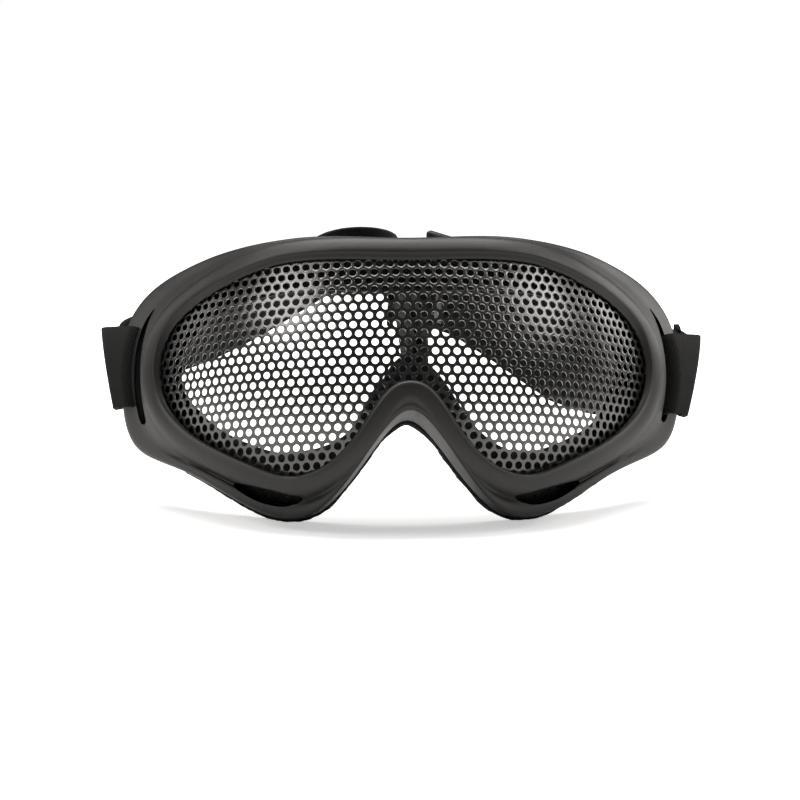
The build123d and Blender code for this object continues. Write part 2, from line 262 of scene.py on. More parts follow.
def ringAt(points, gap=None, depth=None):
    # a ring in the scene, at a gap behind the front or at a depth
    at = frontDepth(points[:, 0], points[:, 1], gap) if depth is None else depth
    return place(points[:, 0], at, points[:, 1])


frameForm = dict(
    # the seat of the lens, then the lip that hides its edge, round the outline
    seatGaps=(7.0, 5.0, 3.3),
    lip=((0, 1.8), (0.9, 1.8), (1.2, 1.2), (1.45, 0.4), (3, 0.35)),
    lipRings=((1, 2.35), (1, 1.95), (0.75, 1.45), (0.3, 1.0)),
    # the rim: distance from the opening, gap, and share of the bead
    rimRings=((0.12, 0.55, -0.3), (0.45, 0.25, -0.4), (0.85, 0.12, 0.0), (1.5, 0, 0.12), (2.6, 0, 0),
              (3.8, 0.06, 0), (4.7, 0.4, 0), (5.2, 0.95, 0)),
    rim=5.2, rimGap=0.95,
    bead=((0, 0), (1.05, 0), (1.2, 1), (1.95, 1), (2.15, 0), (3, 0)),
    # the step outside the rim, softened at the nose
    stepFrom=3.0, step=((0, 1), (2.25, 1), (2.6, 0.35), (3, 0.3)),
    # how far the front outside the rim lies behind it, round the outline
    sunk=((0, 1.2), (0.4, 1.3), (0.6, 1.5), (0.75, 2.0), (0.86, 2.8), (0.95, 3.0), (1.25, 3.0), (1.4, 2.4),
          (1.55, 2.0), (2.0, 2.3), (2.2, 1.9), (2.4, 1.2), (2.6, 0.6), (3, 0.5)),
    frontShares=(0.1, 0.25, 0.42, 0.6, 0.8), dropShare=0.5,
    creaseShare=0.3, creaseWide=0.17,
    crease=((0, 0), (1.3, 0), (1.42, 0.8), (1.6, 1.9), (1.75, 2.2), (2.12, 1.8), (2.28, 0), (3, 0)),
    # round the edge, back to the side wall and along it
    edgeRings=((1.0, 0.0), (0.35, 0.15), (0.0, 0.8), (0.0, 2.0)),
    sideOval=(78.6, 57.0, 45.0), wall=3.2,
    plateRings=((1, 5.5), (0.93, 6.2), (0.8, 6.5), (0.1, 6.6)),
    wallFrom=6.9, wallShares=(0.1, 0.5, 0.9, 1.0),
    # over the flange on the face side, then inside
    flangeRings=((0.06, 0), (0.5, 0), (0.94, 0), (1, -0.4), (1, -1.6), (0.94, -2), (0.5, -2)),
    insideFrom=8.0, insideBack=-2.4, insideShares=(1.0, 0.5, 0.0),
    innerShares=(0.88, 0.3), innerGap=7.05,
    smooth=1, sharp=38,
    # the vents through the cheek lobes, and from and to which gap each cut runs
    vent=((50.8, 9.3), (46.0, 8.2), (40.0, 6.5), (34.5, 4.9), (30.6, 4.1), (30.9, 3.1), (33.2, 2.1),
          (37.0, 1.7), (42.2, 2.9), (46.6, 5.0), (50.2, 7.6)),
    ventPoints=48, ventCut=(-6.0, 10.5),
    # the ear slot's lowest, highest and middle places, and its bow
    slot=(29.0, 62.5, 81.7, 3.6),
    # the groove that the slot lies in: sideways, up, width, and how much further out it lies on each side
    groove=((77.0, 65.4, 0.5), (79.4, 61.2, 1.7), (81.1, 54.0, 2.3), (81.7, 46.0, 2.5), (81.3, 38.0, 2.5),
            (80.3, 32.0, 2.4), (79.6, 29.4, 1.6)),
    grooveOut={1: 1.2, -1: 0}, groovePoints=60, grooveCut=(-6.0, 4.9),
    topVent=dict(long=11.0, wide=3.6, pitch=16.0, gap=7.0, back=3.4, count=6, points=24, cut=(73.0, 95.0)),
)


def withinOval(points, inset):
    wide, high, middle = frameForm["sideOval"]
    away = points - (0, middle)
    far = np.sqrt((away[:, 0] / (wide - inset))**2 + (away[:, 1] / (high - inset))**2)
    return (0, middle) + away / np.maximum(far, 1.0)[:, None]


def frameRings():
    form = frameForm
    lip, sunk, crease, bead, step = (fade(form[name]) for name in ("lip", "sunk", "crease", "bead", "step"))
    rings = [ringAt(opening, gap) for gap in form["seatGaps"]]
    for share, gap in form["lipRings"]:
        rings.append(ringAt(opening - openingOut * (lip * share)[:, None], gap))
    for away, gap, ridge in form["rimRings"]:
        softened = step if away > form["stepFrom"] else 1
        rings.append(ringAt(opening + openingOut * away, gap * softened + bead * ridge))
    rim, rimGap = opening + openingOut * form["rim"], form["rimGap"] * step
    for share in form["frontShares"]:
        drop = min(share / form["dropShare"], 1)
        drop = drop * drop * (3 - 2 * drop)
        ridge = math.exp(-((share - form["creaseShare"]) / form["creaseWide"])**2)
        gap = rimGap + (sunk - rimGap) * drop + crease * ridge
        rings.append(ringAt(rim + (edge - edgeOut - rim) * share, gap))
    for away, gap in form["edgeRings"]:
        rings.append(ringAt(edge - edgeOut * away, sunk + gap))
    outside, inside = withinOval(edge, 0), withinOval(edge - edgeOut * form["wall"], form["wall"])
    for share, gap in form["plateRings"]:
        rings.append(ringAt(outside + (edge - outside) * share, gap))
    start, face = frontDepth(outside[:, 0], outside[:, 1], form["wallFrom"]), faceDepth(outside[:, 0])
    for share in form["wallShares"]:
        rings.append(ringAt(outside, depth=start + (face - start) * share))
    hole = foamEdge - foamOut
    for share, back in form["flangeRings"]:
        at = outside + (hole - outside) * share
        rings.append(ringAt(at, depth=faceDepth(at[:, 0], back)))
    near = frontDepth(inside[:, 0], inside[:, 1], form["insideFrom"])
    far = faceDepth(inside[:, 0], form["insideBack"])
    for share in form["insideShares"]:
        rings.append(ringAt(inside, depth=near + (far - near) * share))
    for share in form["innerShares"]:
        rings.append(ringAt(opening + (inside - opening) * share, form["innerGap"]))
    return rings + rings[:1]


shell = loft("frameShell", frameRings())
modifier = shell.modifiers.new("smooth", "SUBSURF")
modifier.levels = modifier.render_levels = frameForm["smooth"]
applyAll(shell)
print("frame lofted:", len(shell.data.polygons), "faces")


def closedThrough(points, count, fine=8):
    # an even, rounded loop through a few points
    knots = np.array(points, float)
    run = []
    for i in range(len(knots)):
        a, b, c, d = (knots[(i + k) % len(knots)] for k in (-1, 0, 1, 2))
        for t in np.arange(fine) / fine:
            run.append(0.5 * (2 * b + (c - a) * t + (2 * a - 5 * b + 4 * c - d) * t**2
                              + (3 * b - 3 * c + d - a) * t**3))
    run.append(run[0])
    return evenly(np.array(run), count, False)


def grooveLoop(side):
    # round the groove, from its middle line and width
    x, up, wide = np.array(frameForm["groove"], float).T
    x = x + frameForm["grooveOut"][side]
    outer = np.stack([x + wide / 2, up], 1)
    inner = np.stack([x - wide / 2, up], 1)[::-1]
    return closedThrough(np.vstack([outer, inner]) * (side, 1), frameForm["groovePoints"])


def topVentRings(index):
    # a rounded slot in the top, turned to follow the face
    form = frameForm["topVent"]
    x = (index - (form["count"] - 1) / 2) * form["pitch"]
    depth = frontDepth(x, outlines["height"], form["gap"]) + form["back"]
    turn = math.asin(x / front["faceRadius"])
    around = np.linspace(0, 2 * math.pi, form["points"], endpoint=False)
    ends = np.where(np.cos(around) > 0, 1, -1) * (form["long"] - form["wide"]) / 2
    along, across = ends + np.cos(around) * form["wide"] / 2, np.sin(around) * form["wide"] / 2
    ringX = x + along * math.cos(turn) - across * math.sin(turn)
    ringDepth = depth + along * math.sin(turn) + across * math.cos(turn)
    return [place(ringX, ringDepth, up) for up in form["cut"]]


for side in (1, -1):
    ring = closedThrough(np.array(frameForm["vent"]) * (side, 1), frameForm["ventPoints"])
    cut(shell, [ringAt(ring, gap) for gap in frameForm["ventCut"]])
    ring = grooveLoop(side)
    cut(shell, [ringAt(ring, gap) for gap in frameForm["grooveCut"]])
for index in range(frameForm["topVent"]["count"]):
    cut(shell, topVentRings(index))
shadeByAngle(shell, frameForm["sharp"])
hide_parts("frame")
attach(shell, "goggles")
print("frame cut:", len(shell.data.polygons), "faces")

# The mesh lens: two cells with round holes, repeated in rows and laid on the dome
lensForm = dict(
    pitch=3.09, rowPitch=2.615, hole=2.1, bevel=0.12, thick=0.7, corners=12,
    # cells in a row and pairs of rows, how many lie left of and below the middle, and where that is
    columns=62, rows=15, columnsLeft=31, rowsDown=16, middle=-0.49, row=46.4,
    # behind the front, and how far past the opening the sheet goes
    gap=2.45, tuck=2.4, merge=2e-5, sharp=40,
)


def lensCell():
    form, corners = lensForm, lensForm["corners"]
    around = np.radians(np.arange(corners) * 360.0 / corners)
    reach = np.where(np.arange(corners) % 2 == 0, form["pitch"] / 2, form["pitch"] / math.sqrt(3))
    stretch = form["rowPitch"] / (form["pitch"] * math.sqrt(3) / 2)
    cell = np.stack([reach * np.cos(around), reach * np.sin(around) * stretch], 1)
    hole = np.stack([np.cos(around), np.sin(around)], 1) * form["hole"] / 2
    wider = hole * (1 + 2 * form["bevel"] / form["hole"])
    rings = [(cell, 0), (wider, 0), (hole, form["bevel"]), (hole, form["thick"] - form["bevel"]),
             (wider, form["thick"]), (cell, form["thick"])]
    rings = [np.column_stack([at[:, 0], np.full(corners, back), at[:, 1]]) * mm for at, back in rings]
    return loft("lensMesh", rings, closed=False)


lens = lensCell()
pair = lens.copy()
pair.data = lens.data.copy()
scene.collection.objects.link(pair)
pair.data.transform(Matrix.Translation((lensForm["pitch"] / 2 * mm, 0, lensForm["rowPitch"] * mm)))
activate(lens, pair)
bpy.ops.object.join()
for name, count, step in (("row", lensForm["columns"], (lensForm["pitch"], 0)),
                          ("rows", lensForm["rows"], (0, 2 * lensForm["rowPitch"]))):
    modifier = lens.modifiers.new(name, "ARRAY")
    modifier.count = count
    modifier.use_relative_offset = False
    modifier.use_constant_offset = True
    modifier.constant_offset_displace = (step[0] * mm, 0, step[1] * mm)
    modifier.use_merge_vertices = True
    modifier.merge_threshold = lensForm["merge"]
applyAll(lens)


def insideLoop(loop, points):
    # whether each point lies within a closed loop
    x, y = points[:, 0][:, None], points[:, 1][:, None]
    a, b = loop[None], np.roll(loop, -1, 0)[None]
    spans = (a[..., 1] > y) != (b[..., 1] > y)
    rise = np.where(spans, b[..., 1] - a[..., 1], 1)
    return (spans & (x < a[..., 0] + (y - a[..., 1]) * (b[..., 0] - a[..., 0]) / rise)).sum(1) % 2 == 1


def layLens(piece):
    # sideways runs follow the front's arc, heights stay, and cells outside the opening go
    form = lensForm
    arc = front["radius"] * math.radians(front["wing"])
    mesh = bmesh.new()
    mesh.from_mesh(piece.data)
    bmesh.ops.remove_doubles(mesh, verts=mesh.verts, dist=form["merge"])
    flat = np.array([vert.co for vert in mesh.verts]) / mm
    run = flat[:, 0] + form["middle"] - form["columnsLeft"] * form["pitch"]
    up = flat[:, 2] + form["row"] - form["rowsDown"] * form["rowPitch"]
    bend = np.minimum(np.abs(run), arc) / front["radius"]
    x = np.copysign(front["radius"] * np.sin(bend) + np.maximum(np.abs(run) - arc, 0) * np.cos(bend), run)
    for vert, at in zip(mesh.verts, place(x, frontDepth(x, up, form["gap"] + flat[:, 1]), up)):
        vert.co = at
    kept = insideLoop(opening + openingOut * form["tuck"], np.stack([x, up], 1))
    mesh.verts.index_update()
    doomed = [face for face in mesh.faces if not all(kept[vert.index] for vert in face.verts)]
    bmesh.ops.delete(mesh, geom=doomed, context="FACES")
    bmesh.ops.recalc_face_normals(mesh, faces=mesh.faces)
    mesh.to_mesh(piece.data)
    mesh.free()


layLens(lens)
shadeByAngle(lens, lensForm["sharp"])
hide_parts("mesh_lens")
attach(lens, "goggles")
print("mesh lens laid:", len(lens.data.polygons), "faces")

# The foam: the pads' own solids, remeshed and roughened
foamForm = dict(
    faceFoam=dict(node="face_foam", voxel=1.0, grain=0.55, fill=0.7),
    ventFoamRight=dict(node="lower_vent_foam_right", voxel=0.7, grain=0.4, fill=0.6),
    ventFoamLeft=dict(node="lower_vent_foam_left", voxel=0.7, grain=0.4, fill=0.6),
    topVentFoam=dict(node="top_vent_foam", voxel=0.8, grain=0.4, fill=0.6),
)
# alike for all the foam: softening, the grain's size in voxels and middle, how far in the edge is pulled
foamMake = dict(passes=4, soften=0.5, grainSize=2.2, grainMiddle=0.62, pullReach=7.0, merge=2e-6)


def copyNode(node, name):
    # a merged copy of a CAD node's mesh, as a new object
    piece = bpy.data.objects.new(name, nodes[node].data.copy())
    piece.data.name = name
    piece.data.materials.clear()
    scene.collection.objects.link(piece)
    mesh = bmesh.new()
    mesh.from_mesh(piece.data)
    bmesh.ops.remove_doubles(mesh, verts=mesh.verts, dist=foamMake["merge"])
    mesh.to_mesh(piece.data)
    mesh.free()
    return piece


def goggleWay(points):
    # from the scene back to sideways, depth and up
    x, y, z = (np.asarray(points) / mm).T
    y, z = y - stance["y"], z - stance["z"]
    return x, y * math.cos(lean) - z * math.sin(lean), y * math.sin(lean) + z * math.cos(lean)


def pullFoamIn(piece):
    # the inner edge of the pad follows the photographed one
    points = np.zeros(len(piece.data.vertices) * 3)
    piece.data.vertices.foreach_get("co", points)
    x, depth, up = goggleWay(points.reshape(-1, 3))
    far = np.hypot(x[:, None] - foamPlain[None, :, 0], up[:, None] - foamPlain[None, :, 1])
    nearest = far.argmin(1)
    near = far[np.arange(len(x)), nearest]
    pull = (foamEdge - foamPlain)[nearest] * np.clip(1 - near / foamMake["pullReach"], 0, 1)[:, None]
    piece.data.vertices.foreach_set("co", place(x + pull[:, 0], depth, up + pull[:, 1]).ravel())
    piece.data.update()


def makeFoam(name, form):
    piece = copyNode(form["node"], name)
    modifier = piece.modifiers.new("cells", "REMESH")
    modifier.mode = "VOXEL"
    modifier.voxel_size = form["voxel"] * mm
    modifier = piece.modifiers.new("soften", "SMOOTH")
    modifier.iterations = foamMake["passes"]
    modifier.factor = foamMake["soften"]
    noise = bpy.data.textures.new(name + "Noise", "CLOUDS")
    noise.noise_scale = foamMake["grainSize"] * form["voxel"] * mm
    modifier = piece.modifiers.new("grain", "DISPLACE")
    modifier.texture = noise
    modifier.strength = form["grain"] * mm
    modifier.mid_level = foamMake["grainMiddle"]
    applyAll(piece)
    if name == "faceFoam":
        pullFoamIn(piece)
    shadeByAngle(piece, 180)
    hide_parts(form["node"])
    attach(piece, "goggles")
    return piece


foams = [makeFoam(name, form) for name, form in foamForm.items()]
print("foam made:", [len(foam.data.polygons) for foam in foams])

# The strap: webbing as a strip laid along a route, from an axis between the ears that it rises from
strapForm = dict(
    wide=25.0, thick=1.7, height=45.4, axisDepth=60.0, rise=17.0, bevel=0.35, sharp=50, bevelFrom=60,
)


def rounded(corners, radii, step, arcPoints=12):
    # a route through corners with an arc at each, as points one step apart
    corners = np.array(corners, float)
    run = [corners[0]]
    for before, at, after, radius in zip(corners, corners[1:], corners[2:], radii):
        back, on = before - at, after - at
        back, on = back / np.linalg.norm(back), on / np.linalg.norm(on)
        half = math.acos(np.clip(back @ on, -1, 1)) / 2
        middle = at + (back + on) / np.linalg.norm(back + on) * radius / math.sin(half)
        start, end = at + back * radius / math.tan(half), at + on * radius / math.tan(half)
        first, last = (math.atan2(*(point - middle)[::-1]) for point in (start, end))
        turn = (last - first + math.pi) % (2 * math.pi) - math.pi
        for angle in np.linspace(first, first + turn, arcPoints):
            run.append(middle + radius * np.array([math.cos(angle), math.sin(angle)]))
    run.append(corners[-1])
    run = np.array(run)
    length = np.linalg.norm(np.diff(run, axis=0), axis=1).sum()
    return evenly(run, max(int(length / step), 2))


def strip(name, grid, thick, flip=False):
    # a strip of webbing whose middle layer follows a grid of points, along by across
    along, across = grid.shape[:2]
    bpy.ops.object.select_all(action="DESELECT")
    bpy.ops.mesh.primitive_grid_add(x_subdivisions=across - 1, y_subdivisions=along - 1, size=1)
    piece = startPiece(name)
    points = grid[::-1] if flip else grid
    for vert, at in zip(piece.data.vertices, points.reshape(-1, 3)):
        vert.co = at
    runs = np.concatenate([[0], np.cumsum(np.linalg.norm(np.diff(points[:, across // 2], axis=0), axis=1))])
    layer = piece.data.uv_layers.active.data
    for corner in piece.data.loops:
        row, column = divmod(corner.vertex_index, across)
        layer[corner.index].uv = (column / (across - 1), runs[row] / (strapForm["wide"] * mm))
    modifier = piece.modifiers.new("thick", "SOLIDIFY")
    modifier.thickness = thick * mm
    modifier.offset = 0
    modifier.use_even_offset = True
    modifier = piece.modifiers.new("edges", "BEVEL")
    modifier.width = strapForm["bevel"] * mm
    modifier.segments = 2
    modifier.limit_method = "ANGLE"
    modifier.angle_limit = math.radians(strapForm["bevelFrom"])
    applyAll(piece)
    shadeByAngle(piece, strapForm["sharp"])
    return piece


bandForm = dict(
    # sideways and back in the plane that the strap rises in, from its axis
    route=((-88.65, 12.0), (-88.65, 17.68), (0.4, 143.0), (3.0, 3.64), (8.0, 3.64), (0, 104.0),
           (88.65, 17.68), (88.65, 12.0)),
    turns=(12.0, 15.0, 2.4, 2.4, 5.5, 12.0), step=2.2, across=8,
    # how deep the webbing is cupped, and where across it lies on its route
    cup=0.35, cupShare=0.4,
    # how much lower than its plane the strap hangs, at shares of its length, evened over some points
    hang=((0, 0), (0.05, 1.5), (0.1, 4.5), (0.16, 5.0), (0.26, 2.0), (0.33, 0), (0.77, 0), (0.8, 3.0),
          (0.84, 5.0), (0.91, 8.0), (0.96, 6.0), (1, 2.5)),
    evened=6,
    # the loose end beyond the slider: how far inside the band it lies, and how low it hangs along it
    loose=2.1,
    looseHang=((0.715, 6.0), (0.752, 9.0), (0.785, 9.0), (0.83, 14.0), (0.86, 18.0), (0.885, 21.0),
               (0.92, 20.5), (0.955, 17.5), (0.985, 12.5)),
)


def makeBand():
    form = bandForm
    run = rounded(form["route"], form["turns"], form["step"])
    rise = math.radians(strapForm["rise"])
    start = place(0, strapForm["axisDepth"], strapForm["height"])
    ahead, up = np.array([0, math.cos(rise), math.sin(rise)]), np.array([0, -math.sin(rise), math.cos(rise)])
    along = np.gradient(run, axis=0)
    square = np.stack([-along[:, 1], along[:, 0]], 1) / np.linalg.norm(along, axis=1)[:, None]
    shares = np.linspace(0, 1, len(run))
    window = 2 * form["evened"] + 1
    hang = np.interp(np.pad(shares, form["evened"], "edge"), *zip(*form["hang"]))
    hang = np.convolve(hang, np.ones(window) / window, "valid")
    looseHang = np.interp(shares, *zip(*form["looseHang"]))
    end = (shares >= form["looseHang"][0][0]) & (shares <= form["looseHang"][-1][0])
    pieces = []
    for name, chosen, beside, low in (("strapBand", shares >= 0, 0, hang),
                                      ("strapTail", end, form["loose"], looseHang)):
        rows = []
        for index in np.flatnonzero(chosen):
            row = []
            for over in np.linspace(-1, 1, form["across"] + 1):
                flat = run[index] + square[index] * (beside + form["cup"] * (over * over - form["cupShare"]))
                lift = over * strapForm["wide"] / 2 - low[index]
                row.append(start + (np.array([flat[0], 0, 0]) + ahead * flat[1] + up * lift) * mm)
            rows.append(row)
        piece = strip(name, np.array(rows), strapForm["thick"])
        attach(piece, "strap")
        pieces.append(piece)
    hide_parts("strap_band")
    return pieces


bands = makeBand()
print("band made:", [len(piece.data.polygons) for piece in bands], "faces")

# The strap's ends, each from its seam behind the ear, through the slot, round the fold and back to the lap
loopForm = dict(
    # gaps behind the front, before and behind the ear; the seam's place; how much of the fold's slant it has
    gapFront=1.75, gapBack=7.75, seam=87.0, seamShare=0.5,
    # how much further out than the slot the webbing lies behind and before the ear
    enter=(1.7, 2.6),
    # on each side: the fold's place, how far its top stands out beyond its foot, then how far the end is
    # raised where it enters the slot, at the fold's top and at its foot
    sides={1: (93.2, 7.4, -1.1, 1.5, -0.6), -1: (92.2, 5.6, 1.8, 4.7, 2.6)},
    turns=(1.6, 1.6, 2.2), afterFold=(-0.3, 5.0), step=0.5, along=56, across=10,
    # the lap on the band: sideways, depth and up of its middle, and how far its width leans back
    lapOut=90.2, lap=(75.5, 52.3, 22.0), leave=(0, 7.0, 1.5), arrive=(0, 7.0, 4.6), lapPoints=16,
)


def slotAt(up):
    low, high, at, bow = frameForm["slot"]
    radius = (bow**2 + ((high - low) / 2)**2) / (2 * bow)
    return at - radius + math.sqrt(max(radius**2 - (up - (low + high) / 2)**2, 1))


def makeLoop(name, side, node):
    form = loopForm
    foldAt, slant, raised, top, foot = form["sides"][side]
    lapDepth, lapUp, lapLean = form["lap"]
    lapLean = math.radians(lapLean)
    columns = []
    for over in np.linspace(-1, 1, form["across"] + 1):
        away = over * strapForm["wide"] / 2
        up = strapForm["height"] + raised + away
        slot, fold = slotAt(up), foldAt + slant / 2 * over
        rise = foot + (top - foot) * (over + 1) / 2 - raised

        def lying(x, gap):
            return x, float(frontDepth(x, up, gap))
        route = [lying(form["seam"] + slant / 2 * over * form["seamShare"], form["gapBack"]),
                 lying(slot + form["enter"][0], form["gapBack"]),
                 lying(slot + form["enter"][1], form["gapFront"]), lying(fold, form["gapFront"])]
        route.append((fold + form["afterFold"][0], route[-1][1] + form["afterFold"][1]))
        run = evenly(rounded(route, form["turns"], form["step"]), form["along"])
        points = [(x, depth, up + rise * min(max((x - slot) / (fold - slot), 0), 1)) for x, depth in run]
        last = np.array(points[-1])
        target = np.array([form["lapOut"], lapDepth - away * math.sin(lapLean),
                           lapUp + away * math.cos(lapLean)])
        leave, arrive = last + form["leave"], target - form["arrive"]
        for t in np.arange(1, form["lapPoints"] + 1) / form["lapPoints"]:
            points.append((1 - t)**3 * last + 3 * (1 - t)**2 * t * leave + 3 * (1 - t) * t**2 * arrive
                          + t**3 * target)
        columns.append([place(side * x, depth, high) for x, depth, high in points])
    grid = np.array(columns).transpose(1, 0, 2)
    piece = strip(name, grid, strapForm["thick"], flip=side < 0)
    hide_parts(node)
    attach(piece, "goggles")
    return piece


loops = [makeLoop("strapLoopRight", 1, "strap_end_right"), makeLoop("strapLoopLeft", -1, "strap_end_left")]
print("strap ends made")

# The stitches at the lap, one made and the rest copied
stitchForm = dict(
    length=2.2, thick=0.42, round=(8, 6), rows=3, columns=8, spread=20.7, depth=(69.6, 74.2), out=91.03,
    slant=24, sharp=60,
)


def makeStitches(name, side):
    form = stitchForm
    lapDepth, lapUp, lapLean = loopForm["lap"]
    turned = math.radians(lapLean)
    bpy.ops.object.select_all(action="DESELECT")
    segments, rings = form["round"]
    bpy.ops.mesh.primitive_uv_sphere_add(segments=segments, ring_count=rings, radius=form["thick"] / 2 * mm)
    first = startPiece(name)
    for vert in first.data.vertices:
        vert.co.z *= form["length"] / form["thick"]
    tilt = Matrix.Rotation(turned - lean, 4, "X")
    pieces = []
    for row, depth in enumerate(np.linspace(*form["depth"], form["rows"])):
        for rise in np.linspace(-0.5, 0.5, form["columns"]) * form["spread"]:
            reach = depth - lapDepth
            at = place(side * form["out"], lapDepth + reach * math.cos(turned) - rise * math.sin(turned),
                       lapUp + reach * math.sin(turned) + rise * math.cos(turned))
            stitch = first.copy()
            stitch.data = first.data.copy()
            slant = Matrix.Rotation(math.radians(form["slant"] if row % 2 else -form["slant"]), 4, "X")
            stitch.data.transform(Matrix.Translation(at) @ tilt @ slant)
            scene.collection.objects.link(stitch)
            pieces.append(stitch)
    bpy.data.objects.remove(first)
    activate(*pieces)
    bpy.ops.object.join()
    piece = startPiece(name)
    shadeByAngle(piece, form["sharp"])
    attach(piece, "goggles")
    return piece


stitches = [makeStitches("stitchesRight", 1), makeStitches("stitchesLeft", -1)]
print("stitches made")

sliderForm = dict(round=0.4, segments=3, flat=1, sharp=40)


def makeSlider():
    form = sliderForm
    piece = copyNode("strap_slider", "strapSlider")
    activate(piece)
    bpy.ops.object.mode_set(mode="EDIT")
    bpy.ops.mesh.select_all(action="SELECT")
    bpy.ops.mesh.dissolve_limited(angle_limit=math.radians(form["flat"]))
    bpy.ops.object.mode_set(mode="OBJECT")
    modifier = piece.modifiers.new("edges", "BEVEL")
    modifier.width = form["round"] * mm
    modifier.segments = form["segments"]
    modifier.limit_method = "ANGLE"
    modifier.angle_limit = math.radians(form["sharp"])
    applyAll(piece)
    shadeByAngle(piece, form["sharp"])
    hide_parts("strap_slider")
    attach(piece, "slider")
    return piece


slider = makeSlider()
print("slider made")


class Wire:
    # a socket of a material's nodes, with arithmetic
    def __init__(self, tree, socket=None):
        self.tree, self.socket = tree, socket

    def node(self, kind, settings=None, inputs=None, output=0):
        made = self.tree.nodes.new("ShaderNode" + kind)
        for name, value in (settings or {}).items():
            setattr(made, name, value)
        for name, value in (inputs or {}).items():
            if isinstance(value, Wire):
                self.tree.links.new(value.socket, made.inputs[name])
            else:
                made.inputs[name].default_value = value
        return Wire(self.tree, None if output is None else made.outputs[output])

    def math(self, operation, *values, clamp=False):
        settings = {"operation": operation, "use_clamp": clamp}
        return self.node("Math", settings, dict(enumerate(values)))

    def __add__(self, other):
        return self.math("ADD", self, other)

    def __rsub__(self, other):
        return self.math("SUBTRACT", other, self)

    def __mul__(self, other):
        return self.math("MULTIPLY", self, other)

    def between(self, low, high):
        # 0 below low, 1 above high, even in between
        return self.math("MULTIPLY_ADD", self, 1 / (high - low), -low / (high - low), clamp=True)

    def mix(self, factor, dark, light):
        # colours may be links or plain
        return self.node("Mix", {"data_type": "RGBA"}, {0: factor, 6: dark, 7: light}, 2)


def grey(level, warm=0.0):
    return (level * (1 + warm), level, level * (1 - warm), 1.0)


def material(name, paint, pieces):
    made = bpy.data.materials.new(name)
    made.use_nodes = True
    made.node_tree.nodes.clear()
    wire = Wire(made.node_tree)
    wire.node("OutputMaterial", None, {"Surface": paint(wire)}, None)
    for piece in pieces:
        piece.data.materials.clear()
        piece.data.materials.append(made)


plasticLook = dict(
    dark=0.007, light=0.012, dust=0.05, rough=(0.4, 0.52), grain=0.00006,
    # a faint scuff on the top of the frame: its place, and where it starts and ends to fade
    scuffAt=(-47.0, 4.0, 75.0), scuffFade=(0.003, 0.011), scuffStretch=(900, 160, 160),
)


def paintPlastic(wire):
    look = plasticLook
    at = wire.node("TexCoord", output="Object")
    cloud = wire.node("TexNoise", None, {"Vector": at, "Scale": 38.0, "Detail": 5.0, "Roughness": 0.6})
    grain = wire.node("TexNoise", None, {"Vector": at, "Scale": 2600.0, "Detail": 2.0, "Roughness": 0.5})
    waves = wire.node("TexNoise", None, {"Vector": at, "Scale": 130.0, "Detail": 2.0, "Roughness": 0.4})
    spot = Vector(place(*look["scuffAt"]))
    near = wire.node("VectorMath", {"operation": "DISTANCE"}, {0: at, 1: spot}, "Value")
    stretched = wire.node("Mapping", None, {"Vector": at, "Rotation": (0.2, 0.5, 0.3),
                                            "Scale": look["scuffStretch"]})
    streaks = wire.node("TexNoise", None, {"Vector": stretched, "Scale": 1.0, "Detail": 3.0,
                                           "Roughness": 0.7})
    scuff = streaks.between(0.5, 0.72) * (1 - near.between(*look["scuffFade"]))
    fleck = wire.node("TexVoronoi", None, {"Vector": at, "Scale": 210.0, "Randomness": 1.0})
    chosen = wire.node("TexNoise", None, {"Vector": at, "Scale": 60.0, "Detail": 1.0}).between(0.6, 0.7)
    dust = (1 - fleck.between(0.02, 0.05)) * chosen * 0.5
    worn = (scuff + dust).math("MINIMUM", scuff + dust, 1.0)
    body = wire.mix(cloud.between(0.3, 0.7), grey(look["dark"], 0.02), grey(look["light"], 0.03))
    low, high = look["rough"]
    bump = wire.node("Bump", None, {"Height": grain * 0.5 + waves * 1.6, "Distance": look["grain"],
                                    "Strength": 0.8})
    return wire.node("BsdfPrincipled", None, {
        "Base Color": wire.mix(worn, body, grey(look["dust"], 0.03)),
        "Roughness": cloud.between(0.25, 0.75) * (high - low) + low + worn * 0.15,
        "Specular IOR Level": 0.4, "Normal": bump,
    })


# the paint's lighter, warmer patches are painted warm reflection, placed by a noise
paintLook = dict(dark=0.003, light=0.007, rough=(0.2, 0.3))


def paintLens(wire):
    look = paintLook
    at = wire.node("TexCoord", output="Object")
    cloud = wire.node("TexNoise", None, {"Vector": at, "Scale": 30.0, "Detail": 4.0, "Roughness": 0.55})
    peel = wire.node("TexNoise", None, {"Vector": at, "Scale": 1500.0, "Detail": 2.0})
    low, high = look["rough"]
    # painted reflection: the base colour turns lighter and warmer in noise patches
    return wire.node("BsdfPrincipled", None, {
        "Base Color": wire.mix(cloud.between(0.35, 0.7), grey(look["dark"], 0.03), grey(look["light"], 0.06)),
        "Roughness": cloud.between(0.3, 0.7) * (high - low) + low,
        "Specular IOR Level": 0.8, "Coat Weight": 0.6, "Coat Roughness": 0.2,
        "Normal": wire.node("Bump", None, {"Height": peel, "Distance": 0.00004, "Strength": 0.7}),
    })


# the pore centres are painted near black as painted shade inside the pores; the cell walls are lighter
foamLook = dict(hole=0.0025, wallTone=0.02, scale=1150.0)


